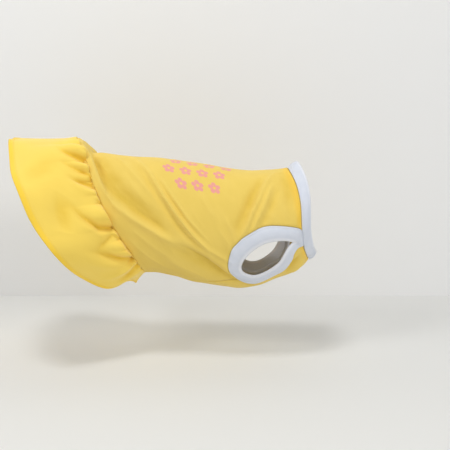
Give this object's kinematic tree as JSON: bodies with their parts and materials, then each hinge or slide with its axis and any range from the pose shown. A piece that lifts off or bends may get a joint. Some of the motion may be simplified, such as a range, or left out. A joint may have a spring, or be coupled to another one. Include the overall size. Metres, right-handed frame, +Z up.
{
  "type": "dog dress",
  "caption": "Sleeveless jersey dog dress with rib bindings round the neck and armholes and a gathered skirt over the haunches, in its worn form.",
  "frame": {"origin": "inside face of the back panel, on the spine, above the armholes", "axes": "+X towards the neck, +Y to the dog's left, +Z up"},
  "size_m": [0.3777, 0.194, 0.1903],
  "materials": {
    "bodice_jersey": "matte",
    "skirt_jersey": "matte",
    "rib": "matte"
  },
  "bodies": {
    "root": {"back_panel": "bodice_jersey", "belly_panel": "bodice_jersey", "left_armhole_binding": "rib", "right_armhole_binding": "rib", "neck_binding": "rib", "skirt": "skirt_jersey"}
  },
  "joints": []
}
